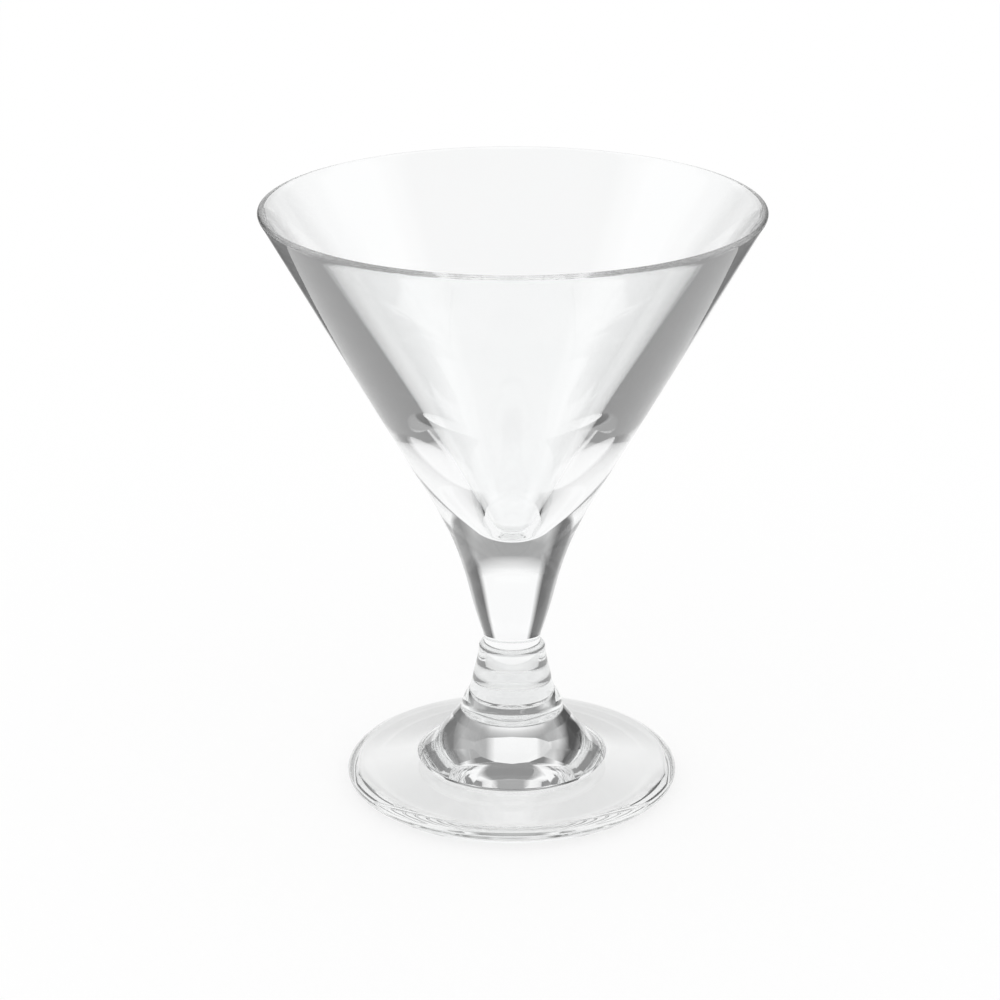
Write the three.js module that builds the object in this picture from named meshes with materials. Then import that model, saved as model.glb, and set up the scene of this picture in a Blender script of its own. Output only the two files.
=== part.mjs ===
// A small clear plastic martini glass that comes apart into two mouldings:
// the bowl with its stem, collar and dome, and the foot plate, whose seat takes the spigot under the dome.
// Millimetres, +Z up. The origin lies on the axis, in the plane that the foot stands on.
import * as THREE from 'three';

// Foot plate: a disc on a narrow standing ring, hollowed a little underneath.
const standingRingInnerRadius = 24;
const standingRingOuterRadius = 27;
const footRadius = 29.3;
const footTopRadius = 28;
const footWidestHeight = 1.8;
const footEdgeHeight = 3.35;
const footTopRise = 1.45;
const undersideDepth = 1.4;
const undersideCrownRadius = 11;

// Push fit: a round spigot under the dome, in a seat in the middle of the foot plate.
const spigotRadius = 16;
const spigotTipRadius = 15.6;
const spigotLength = 2;
const fitClearance = 0.3;
const seatLeadIn = 0.3;

// Punt: the shallow hollow under the spigot, with flat facets round a flat middle.
const puntSides = 12;
const puntRimRadius = 14.8;
const puntTopRadius = 4.5;
const puntDepth = 0.8;

// Dome that rises from the foot plate.
const domeFlareRadius = 14.3;
const domeTopRadius = 8.9;
const domeFlareHeight = 1.7;
const domeHeight = 8.6;

// Ring and tapered collar on top of the dome.
const ringRadius = 8.75;
const ringBandHeight = 1.3;
const ringShoulderHeight = 2.7;
const collarBaseRadius = 7.3;
const collarBeadRadius = 7;
const collarNeckRadius = 5.85;
const collarTopRadius = 5.75;
const collarBeadHeight = 1.3;
const collarTaperHeight = 5.1;
const collarTopHeight = 1.8;

// Stem: swells from its neck above the collar to the underside of the bowl.
const neckRadius = 4.85;
const stemWaistRadius = 4.95;
const stemSwellRadius = 6.5;
const stemTopRadius = 8.9;
const neckStepHeight = 0.3;
const neckHeight = 1.4;
const stemSwellHeight = 4.8;
const stemTaperHeight = 9.8;
const stemFlareHeight = 7.6;

// Bowl: its outside is a cone with a slight belly, its hollow a wider straight cone,
// so the wall is thin at the lip and thick at the bottom.
const bowlBaseRadius = 12.1;
const bowlBellyRadius = 23.3;
const rimCornerRadius = 42.48;
const bowlBellyHeight = 19.8;
const bowlUpperHeight = 34.4;
const lipThickness = 1.16;
const hollowDepth = 55.7;
const hollowFloorRadius = 2.52;

// Rounding radii.
const standingEdgeRound = 1.3;
const footEdgeRound = 1.1;
const footTopRound = 1.4;
const undersideRound = 150;
const spigotTipRound = 0.3;
const domeBaseRound = 0.15;
const domeFlareRound = 6;
const ringRound = 0.5;
const collarBeadRound = 1.2;
const collarNeckRound = 4;
const collarTopRound = 0.4;
const neckRound = 0.2;
const stemWaistRound = 2;
const stemSwellRound = 8;
const stemTopRound = 30;
const bowlBaseRound = 16;
const bowlBellyRound = 900;
const lipRound = 0.5;
const hollowFloorRound = 4;

// Fineness of the faceted solids.
const stepsAround = 48;
const arcStep = THREE.MathUtils.degToRad(15);

// Heights above the table, stacked from the foot up.
const domeBaseZ = footEdgeHeight + footTopRise;
const spigotBottomZ = domeBaseZ - spigotLength;
const puntTopZ = spigotBottomZ + puntDepth;
const seatFloorZ = spigotBottomZ - fitClearance;
const domeTopZ = domeBaseZ + domeHeight;
const ringTopZ = domeTopZ + ringBandHeight;
const collarBaseZ = ringTopZ + ringShoulderHeight;
const collarBeadZ = collarBaseZ + collarBeadHeight;
const collarNeckZ = collarBeadZ + collarTaperHeight;
const collarTopZ = collarNeckZ + collarTopHeight;
const neckZ = collarTopZ + neckStepHeight;
const stemWaistZ = neckZ + neckHeight;
const stemSwellZ = stemWaistZ + stemSwellHeight;
const stemTopZ = stemSwellZ + stemTaperHeight;
const bowlBaseZ = stemTopZ + stemFlareHeight;
const bowlBellyZ = bowlBaseZ + bowlBellyHeight;
const rimZ = bowlBellyZ + bowlUpperHeight;
const hollowFloorZ = rimZ - hollowDepth;

// One corner of a turned outline: distance from the axis, height, and rounding radius.
function corner(radius, height, round = 0) {
  return { point: new THREE.Vector2(radius, height), round };
}

// How far a corner's rounding reaches along its two sides.
function roundingReach(corners, index) {
  const { point, round } = corners[index];
  if (round === 0) {
    return 0;
  }
  const toPrevious = corners[index - 1].point.clone().sub(point);
  const toNext = corners[index + 1].point.clone().sub(point);
  return round / Math.tan(toPrevious.angleTo(toNext) / 2);
}

// The outline's points, with each corner turned into an arc that its sides have room for.
function roundedOutline(corners) {
  const wanted = corners.map((_, index) => roundingReach(corners, index));
  const room = (index) => {
    const side = corners[index].point.distanceTo(corners[index + 1].point);
    return Math.min(1, side / Math.max(wanted[index] + wanted[index + 1], Number.EPSILON));
  };
  return corners.flatMap(({ point, round }, index) => {
    if (round === 0) {
      return [point];
    }
    const reach = wanted[index] * Math.min(room(index - 1), room(index));
    const toPrevious = corners[index - 1].point.clone().sub(point).normalize();
    const toNext = corners[index + 1].point.clone().sub(point).normalize();
    return arcBetween(point, toPrevious, toNext, reach);
  });
}

// Points of the arc that leaves one side and joins the other, both at the given reach from the corner.
function arcBetween(point, toPrevious, toNext, reach) {
  const halfAngle = toPrevious.angleTo(toNext) / 2;
  const radius = reach * Math.tan(halfAngle);
  const middle = toPrevious.clone().add(toNext).setLength(radius / Math.sin(halfAngle)).add(point);
  const start = toPrevious.clone().multiplyScalar(reach).add(point).sub(middle);
  const turn = Math.PI - 2 * halfAngle;
  const direction = Math.sign(toPrevious.clone().negate().cross(toNext));
  const steps = Math.max(2, Math.ceil(turn / arcStep));
  return Array.from({ length: steps + 1 }, (_, step) =>
    start.clone().rotateAround(new THREE.Vector2(), (direction * turn * step) / steps).add(middle));
}

// A closed turned solid: its outline starts and ends on the axis.
function turnedSolid(corners) {
  return new THREE.LatheGeometry(roundedOutline(corners), stepsAround);
}

// Draws the first rings of a turned solid in to straight sides, so that the cone between them becomes flat facets.
function facetFirstRings(geometry, ringCount, sides) {
  const position = geometry.getAttribute('position');
  const outlineLength = geometry.parameters.points.length;
  const sideAngle = (2 * Math.PI) / sides;
  for (let step = 0; step <= stepsAround; step += 1) {
    const fromSideMiddle = (((2 * Math.PI * step) / stepsAround) % sideAngle) - sideAngle / 2;
    const pull = Math.cos(sideAngle / 2) / Math.cos(fromSideMiddle);
    for (let ring = 0; ring < ringCount; ring += 1) {
      const vertex = step * outlineLength + ring;
      position.setX(vertex, position.getX(vertex) * pull);
      position.setZ(vertex, position.getZ(vertex) * pull);
    }
  }
}

// A named piece from a solid that was turned about three's upright axis, stood up along +Z.
function standingPiece(name, geometry, material) {
  geometry.rotateX(Math.PI / 2);
  const piece = new THREE.Mesh(geometry, material);
  piece.name = name;
  return piece;
}

// Clear, polished plastic with a faint cool tint.
function clearPlastic(color) {
  return new THREE.MeshStandardMaterial({ color, roughness: 0.05, metalness: 0, transparent: true, opacity: 0.35 });
}

// Foot: from the middle of its underside, out over the standing ring and the edge, and in over the top to the seat.
function foot() {
  const seatRadius = spigotRadius + fitClearance;
  const seatTipRadius = spigotTipRadius + fitClearance;
  const corners = [
    corner(0, undersideDepth),
    corner(undersideCrownRadius, undersideDepth, undersideRound),
    corner(standingRingInnerRadius, 0),
    corner(standingRingOuterRadius, 0, standingEdgeRound),
    corner(footRadius, footWidestHeight, footEdgeRound),
    corner(footTopRadius, footEdgeHeight, footTopRound),
    corner(seatRadius + seatLeadIn, domeBaseZ),
    corner(seatRadius, domeBaseZ - seatLeadIn),
    corner(seatTipRadius, seatFloorZ, spigotTipRound),
    corner(0, seatFloorZ),
  ];
  return standingPiece('foot', turnedSolid(corners), clearPlastic(0xf0f3f2));
}

// Bowl and stem: from the middle of the punt, out round the spigot, up the dome, collar, stem and the outside of
// the bowl, over the lip and down the hollow.
function bowlAndStem() {
  const puntCorners = [
    corner(0, puntTopZ),
    corner(puntTopRadius, puntTopZ),
    corner(puntRimRadius, spigotBottomZ),
  ];
  const corners = [
    ...puntCorners,
    corner(spigotTipRadius, spigotBottomZ, spigotTipRound),
    corner(spigotRadius, domeBaseZ, domeBaseRound),
    corner(domeFlareRadius, domeBaseZ + domeFlareHeight, domeFlareRound),
    corner(domeTopRadius, domeTopZ, ringRound),
    corner(ringRadius, ringTopZ, ringRound),
    corner(collarBaseRadius, collarBaseZ, ringRound),
    corner(collarBeadRadius, collarBeadZ, collarBeadRound),
    corner(collarNeckRadius, collarNeckZ, collarNeckRound),
    corner(collarTopRadius, collarTopZ, collarTopRound),
    corner(neckRadius, neckZ, neckRound),
    corner(stemWaistRadius, stemWaistZ, stemWaistRound),
    corner(stemSwellRadius, stemSwellZ, stemSwellRound),
    corner(stemTopRadius, stemTopZ, stemTopRound),
    corner(bowlBaseRadius, bowlBaseZ, bowlBaseRound),
    corner(bowlBellyRadius, bowlBellyZ, bowlBellyRound),
    corner(rimCornerRadius, rimZ, lipRound),
    corner(rimCornerRadius - lipThickness, rimZ, lipRound),
    corner(hollowFloorRadius, hollowFloorZ, hollowFloorRound),
    corner(0, hollowFloorZ),
  ];
  const solid = turnedSolid(corners);
  facetFirstRings(solid, puntCorners.length, puntSides);
  return standingPiece('bowl_and_stem', solid, clearPlastic(0xf3f6f6));
}

const martiniGlass = new THREE.Group();
martiniGlass.add(foot(), bowlAndStem());

export default martiniGlass;
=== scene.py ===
import math

import bmesh
import bpy
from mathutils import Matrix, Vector


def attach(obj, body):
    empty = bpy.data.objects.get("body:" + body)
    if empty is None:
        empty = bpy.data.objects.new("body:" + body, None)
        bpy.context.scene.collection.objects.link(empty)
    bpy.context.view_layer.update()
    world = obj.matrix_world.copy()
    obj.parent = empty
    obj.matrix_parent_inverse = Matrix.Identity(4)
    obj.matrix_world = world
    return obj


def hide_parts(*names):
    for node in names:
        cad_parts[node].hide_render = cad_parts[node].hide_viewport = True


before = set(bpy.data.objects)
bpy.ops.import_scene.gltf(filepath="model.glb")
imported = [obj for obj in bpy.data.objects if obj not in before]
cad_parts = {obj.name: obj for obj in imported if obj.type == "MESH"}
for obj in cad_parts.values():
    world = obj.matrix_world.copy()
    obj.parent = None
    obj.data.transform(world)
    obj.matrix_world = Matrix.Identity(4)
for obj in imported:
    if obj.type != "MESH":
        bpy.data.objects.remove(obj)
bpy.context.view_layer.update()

# Foot plate: the clear round moulding that the glass stands on. It rests on a narrow ring, its edge is
# rounded, and the round seat in its middle takes the spigot under the dome.
foot_corners = [
    # distance from the axis, height, and how far the rounding reaches along the sides, in metres
    (0.0, 0.0014, 0.0),  # middle of the underside
    (0.0110, 0.0014, 0.0080),  # slight hollow underneath
    (0.0240, 0.0000, 0.0),  # standing ring, inside
    (0.0270, 0.0000, 0.0006),  # standing ring, outside
    (0.0293, 0.0018, 0.0009),  # widest part of the edge
    (0.0280, 0.00335, 0.0009),  # top of the edge
    (0.0166, 0.0048, 0.00015),  # mouth of the seat
    (0.0163, 0.0046, 0.0001),  # lead-in of the seat
    (0.0159, 0.0025, 0.0004),  # floor of the seat
    (0.0, 0.0025, 0.0),  # middle of the seat
]
steps_around = 264
rounding_steps = 8
longest_step = 0.0012
weld_distance = 1e-7
crease_angle = math.radians(35)


def turned_form(corners):
    """The surface spun round the axis from an outline whose corners are rounded."""
    form = bmesh.new()
    outline = [form.verts.new((radius, 0.0, height)) for radius, height, _ in corners]
    for start, end in zip(outline, outline[1:]):
        form.edges.new((start, end))
    for point, (_, _, reach) in zip(outline, corners):
        if reach:
            bmesh.ops.bevel(form, geom=[point], offset=reach, offset_type="OFFSET", affect="VERTICES",
                            segments=rounding_steps, profile=0.5, material=-1)
    for edge in form.edges[:]:
        bmesh.ops.subdivide_edges(form, edges=[edge], cuts=int(edge.calc_length() / longest_step))
    bmesh.ops.spin(form, geom=form.verts[:] + form.edges[:], cent=(0, 0, 0), axis=(0, 0, 1),
                   angle=math.tau, steps=steps_around, use_merge=True)
    bmesh.ops.remove_doubles(form, verts=form.verts, dist=weld_distance)
    for face in form.faces:
        face.smooth = True
    return form


def finished_piece(name, form):
    """The piece made from a closed form, with its creases kept sharp."""
    bmesh.ops.recalc_face_normals(form, faces=form.faces)
    for edge in form.edges:
        edge.smooth = edge.calc_face_angle(0.0) < crease_angle
    mesh = bpy.data.meshes.new(name)
    form.to_mesh(mesh)
    form.free()
    piece = bpy.data.objects.new(name, mesh)
    bpy.context.collection.objects.link(piece)
    return piece


refractive_index = 1.5
flow_scale = 45.0
flow_detail = 1.0
deep_tint_below = 0.3
pale_tint_above = 0.7
most_roughness = 0.015
wave_strength = 0.2
wave_height = 0.00001


def clear_plastic(name, pale_tint, deep_tint):
    """Polished clear plastic, whose tint, polish and surface vary a little with the flow of the melt."""
    material = bpy.data.materials.new(name)
    material.use_nodes = True
    nodes = material.node_tree.nodes
    links = material.node_tree.links
    plastic = nodes["Principled BSDF"]
    plastic.inputs["IOR"].default_value = refractive_index
    plastic.inputs["Transmission Weight"].default_value = 1.0
    place = nodes.new("ShaderNodeTexCoord")
    flow = nodes.new("ShaderNodeTexNoise")
    flow.inputs["Scale"].default_value = flow_scale
    flow.inputs["Detail"].default_value = flow_detail
    links.new(place.outputs["Object"], flow.inputs["Vector"])
    tint = nodes.new("ShaderNodeValToRGB")
    tint.color_ramp.elements[0].position = deep_tint_below
    tint.color_ramp.elements[0].color = deep_tint
    tint.color_ramp.elements[1].position = pale_tint_above
    tint.color_ramp.elements[1].color = pale_tint
    links.new(flow.outputs["Fac"], tint.inputs["Fac"])
    links.new(tint.outputs["Color"], plastic.inputs["Base Color"])
    polish = nodes.new("ShaderNodeMapRange")
    polish.inputs["To Min"].default_value = 0.0
    polish.inputs["To Max"].default_value = most_roughness
    links.new(flow.outputs["Fac"], polish.inputs["Value"])
    links.new(polish.outputs["Result"], plastic.inputs["Roughness"])
    waves = nodes.new("ShaderNodeBump")
    waves.inputs["Strength"].default_value = wave_strength
    waves.inputs["Distance"].default_value = wave_height
    links.new(flow.outputs["Fac"], waves.inputs["Height"])
    links.new(waves.outputs["Normal"], plastic.inputs["Normal"])
    return material


foot = finished_piece("clear_foot", turned_form(foot_corners))
foot_plastic = clear_plastic("clear_foot_plastic", pale_tint=(0.99, 0.994, 0.992, 1.0),
                             deep_tint=(0.98, 0.987, 0.984, 1.0))
foot.data.materials.append(foot_plastic)
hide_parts("foot")
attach(foot, "foot")

# Bowl and stem: the second clear moulding. A conical bowl, thin at its lip and thick at its bottom, runs down
# into a solid stem, a collar of two rings and a dome, whose spigot sits in the foot plate.
spigot_bottom = 0.0028
bowl_corners = [
    # the same three values, from the spigot up the outside, over the lip and down the hollow
    (0.0152, spigot_bottom, 0.0),  # open end, which the punt closes
    (0.0156, spigot_bottom, 0.0002),  # tip of the spigot
    (0.0160, 0.0048, 0.00015),  # base of the dome
    (0.0143, 0.0065, 0.0012),  # flare of the dome
    (0.0089, 0.0134, 0.00025),  # top of the dome
    (0.00875, 0.0147, 0.0010),  # ring
    (0.0073, 0.0174, 0.00066),  # base of the collar
    (0.0070, 0.0187, 0.00066),  # bead of the collar
    (0.00585, 0.0238, 0.0012),  # narrow part of the collar
    (0.00575, 0.0256, 0.0006),  # top of the collar
    (0.00485, 0.0259, 0.0003),  # neck
    (0.00495, 0.0273, 0.0007),  # waist of the stem
    (0.0065, 0.0321, 0.0024),  # swell of the stem
    (0.0089, 0.0419, 0.0040),  # top of the stem
    (0.0121, 0.0495, 0.0040),  # base of the bowl
    (0.0233, 0.0693, 0.0080),  # belly of the bowl
    (0.04248, 0.1037, 0.00095),  # lip, outside
    (0.04132, 0.1037, 0.0002),  # lip, inside
    (0.00252, 0.0480, 0.0021),  # floor of the hollow
    (0.0, 0.0480, 0.0),  # middle of the hollow
]
punt_sides = 12
punt_rim_radius = 0.0148
punt_top_radius = 0.0045
punt_depth = 0.0008


def close_with_punt(form, height):
    """Closes the spigot's open end with a shallow punt: flat facets round a flat middle."""
    rim = bmesh.ops.create_circle(form, cap_ends=True, segments=punt_sides, radius=punt_rim_radius)
    bmesh.ops.translate(form, verts=rim["verts"], vec=(0, 0, height))
    flank_run = (punt_rim_radius - punt_top_radius) * math.cos(math.pi / punt_sides)
    bmesh.ops.inset_individual(form, faces=rim["verts"][0].link_faces, thickness=flank_run, depth=punt_depth)
    bmesh.ops.triangle_fill(form, edges=[edge for edge in form.edges if edge.is_boundary], use_beauty=True)


bowl_form = turned_form(bowl_corners)
close_with_punt(bowl_form, spigot_bottom)
bowl = finished_piece("clear_bowl_and_stem", bowl_form)
bowl_plastic = clear_plastic("clear_bowl_plastic", pale_tint=(0.99, 0.994, 0.994, 1.0),
                             deep_tint=(0.98, 0.987, 0.988, 1.0))
bowl.data.materials.append(bowl_plastic)
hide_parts("bowl_and_stem")
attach(bowl, "bowl")

# Table: a plain white sheet that the glass stands on. Most of its light is its own, to the camera and through
# the glass, and the rest comes from the white surround, so it keeps a soft shadow of the glass.
table_half_width = 2.0
table_drop = 0.0002
table_shade = (1.0, 1.0, 1.0, 1.0)
table_own_light = 0.8


def seen_directly_or_through_glass(nodes, links):
    """One for rays from the camera, and for rays that mirror or clear surfaces pass on."""
    rays = nodes.new("ShaderNodeLightPath")
    glossy_or_clear = nodes.new("ShaderNodeMath")
    glossy_or_clear.operation = "MAXIMUM"
    links.new(rays.outputs["Is Glossy Ray"], glossy_or_clear.inputs[0])
    links.new(rays.outputs["Is Transmission Ray"], glossy_or_clear.inputs[1])
    seen = nodes.new("ShaderNodeMath")
    seen.operation = "MAXIMUM"
    links.new(rays.outputs["Is Camera Ray"], seen.inputs[0])
    links.new(glossy_or_clear.outputs[0], seen.inputs[1])
    return seen.outputs[0]


table_form = bmesh.new()
bmesh.ops.create_grid(table_form, x_segments=1, y_segments=1, size=table_half_width)
bmesh.ops.translate(table_form, verts=table_form.verts, vec=(0, 0, -table_drop))
table_mesh = bpy.data.meshes.new("table")
table_form.to_mesh(table_mesh)
table_form.free()
table = bpy.data.objects.new("table", table_mesh)
bpy.context.collection.objects.link(table)
table_finish = bpy.data.materials.new("white_table")
table_finish.use_nodes = True
table_nodes = table_finish.node_tree.nodes
table_links = table_finish.node_tree.links
table_nodes.clear()
table_output = table_nodes.new("ShaderNodeOutputMaterial")
lit_share = table_nodes.new("ShaderNodeBsdfDiffuse")
lit_share.inputs["Color"].default_value = [(1 - table_own_light) * channel for channel in table_shade]
glow = table_nodes.new("ShaderNodeEmission")
glow_strength = table_nodes.new("ShaderNodeMath")
glow_strength.operation = "MULTIPLY"
glow_strength.inputs[1].default_value = table_own_light
table_links.new(seen_directly_or_through_glass(table_nodes, table_links), glow_strength.inputs[0])
table_links.new(glow_strength.outputs[0], glow.inputs["Strength"])
table_sum = table_nodes.new("ShaderNodeAddShader")
table_links.new(lit_share.outputs[0], table_sum.inputs[0])
table_links.new(glow.outputs[0], table_sum.inputs[1])
table_links.new(table_sum.outputs[0], table_output.inputs["Surface"])
table.data.materials.append(table_finish)

# Studio: a white surround, and grey cards with soft edges that stand for the darker parts of the room.
# They show only in the clear plastic, whose edges draw dark by them; the camera and the table don't see them.
world = bpy.data.worlds.new("white_surround")
bpy.context.scene.world = world
world.use_nodes = True
surround = world.node_tree.nodes["Background"]
surround.inputs["Color"].default_value = (1, 1, 1, 1)
surround.inputs["Strength"].default_value = 1.0

cards = [
    # name, first and last azimuth in degrees clockwise from straight back, distance, bottom and top in
    # metres, brightness, and columns and rows of cells, of which the outermost fade out; a bottom below
    # zero hides that fade under the table
    ("side_card_right_low", 24, 56, 0.18, -0.02, 0.065, 0.11, 5, 5),
    ("side_card_right_far", 50, 78, 0.19, -0.03, 0.17, 0.40, 5, 6),
    ("side_card_right_high", 23, 72, 0.35, 0.03, 0.24, 0.20, 5, 5),
    ("side_card_left_low", -56, -20, 0.18, -0.02, 0.065, 0.09, 5, 5),
    ("side_card_left_far", -78, -50, 0.19, -0.03, 0.17, 0.34, 5, 6),
    ("side_card_left_high", -72, -20, 0.35, 0.03, 0.24, 0.06, 5, 5),
    ("back_card_low", -30, 34, 0.30, 0.03, 0.125, 0.36, 6, 3),
    ("back_card_right", 9, 36, 1.5, 0.10, 1.0, 0.48, 5, 5),
    ("back_card_left", -34, -13, 1.5, 0.10, 0.8, 0.60, 5, 5),
    ("back_card_high", -30, 34, 1.5, 0.7, 2.3, 0.24, 5, 5),
    ("back_card_top", -30, 34, 1.5, 1.2, 3.6, 0.42, 5, 5),
    ("front_card", 104, 256, 0.75, 0.02, 1.5, 0.25, 16, 16),
]


def studio_card(name, start, end, distance, bottom, top, brightness, columns, rows):
    """A bent upright card that fades out along its edges, seen by the clear plastic alone."""
    card_form = bmesh.new()
    angle = math.radians(start)
    foot_point = Vector((distance * math.sin(angle), distance * math.cos(angle), bottom))
    low = card_form.verts.new(foot_point)
    high = card_form.verts.new(foot_point + Vector((0, 0, top - bottom)))
    edge = card_form.edges.new((low, high))
    bmesh.ops.subdivide_edges(card_form, edges=[edge], cuts=rows - 1)
    bmesh.ops.spin(card_form, geom=card_form.verts[:] + card_form.edges[:], cent=(0, 0, 0), axis=(0, 0, 1),
                   angle=-math.radians(end - start), steps=columns)
    cover = card_form.verts.layers.float.new("cover")
    for point in card_form.verts:
        point[cover] = 0.0 if point.is_boundary else 1.0
    mesh = bpy.data.meshes.new(name)
    card_form.to_mesh(mesh)
    card_form.free()
    card = bpy.data.objects.new(name, mesh)
    bpy.context.collection.objects.link(card)
    finish = bpy.data.materials.new(name)
    finish.use_nodes = True
    nodes = finish.node_tree.nodes
    links = finish.node_tree.links
    nodes.clear()
    grey = nodes.new("ShaderNodeEmission")
    grey.inputs["Color"].default_value = (1, 1, 1, 1)
    grey.inputs["Strength"].default_value = brightness
    clear = nodes.new("ShaderNodeBsdfTransparent")
    covered = nodes.new("ShaderNodeAttribute")
    covered.attribute_name = "cover"
    soft_edged = nodes.new("ShaderNodeMixShader")
    links.new(covered.outputs["Fac"], soft_edged.inputs["Fac"])
    links.new(clear.outputs[0], soft_edged.inputs[1])
    links.new(grey.outputs[0], soft_edged.inputs[2])
    output = nodes.new("ShaderNodeOutputMaterial")
    links.new(soft_edged.outputs[0], output.inputs["Surface"])
    card.data.materials.append(finish)
    card.visible_camera = False
    card.visible_diffuse = False
    card.visible_shadow = False


for card in cards:
    studio_card(*card)

# Camera: at the photo's angle, looking down on the glass from the front. Rays may bounce many times, because
# the clear walls throw them to and fro before they leave.
camera_place = Vector((-0.0021, -0.47316, 0.22781))
degrees_down = 20.394
clear_bounces = 40
camera_data = bpy.data.cameras.new("camera")
camera_data.lens = 106.16
camera_data.sensor_width = 36.0
camera = bpy.data.objects.new("camera", camera_data)
camera.location = camera_place
camera.rotation_euler = (math.radians(90 - degrees_down), 0, 0)
bpy.context.collection.objects.link(camera)
bpy.context.scene.camera = camera

bpy.context.scene.view_settings.view_transform = "Standard"
bpy.context.scene.cycles.max_bounces = clear_bounces
bpy.context.scene.cycles.transmission_bounces = clear_bounces
bpy.context.scene.cycles.glossy_bounces = clear_bounces
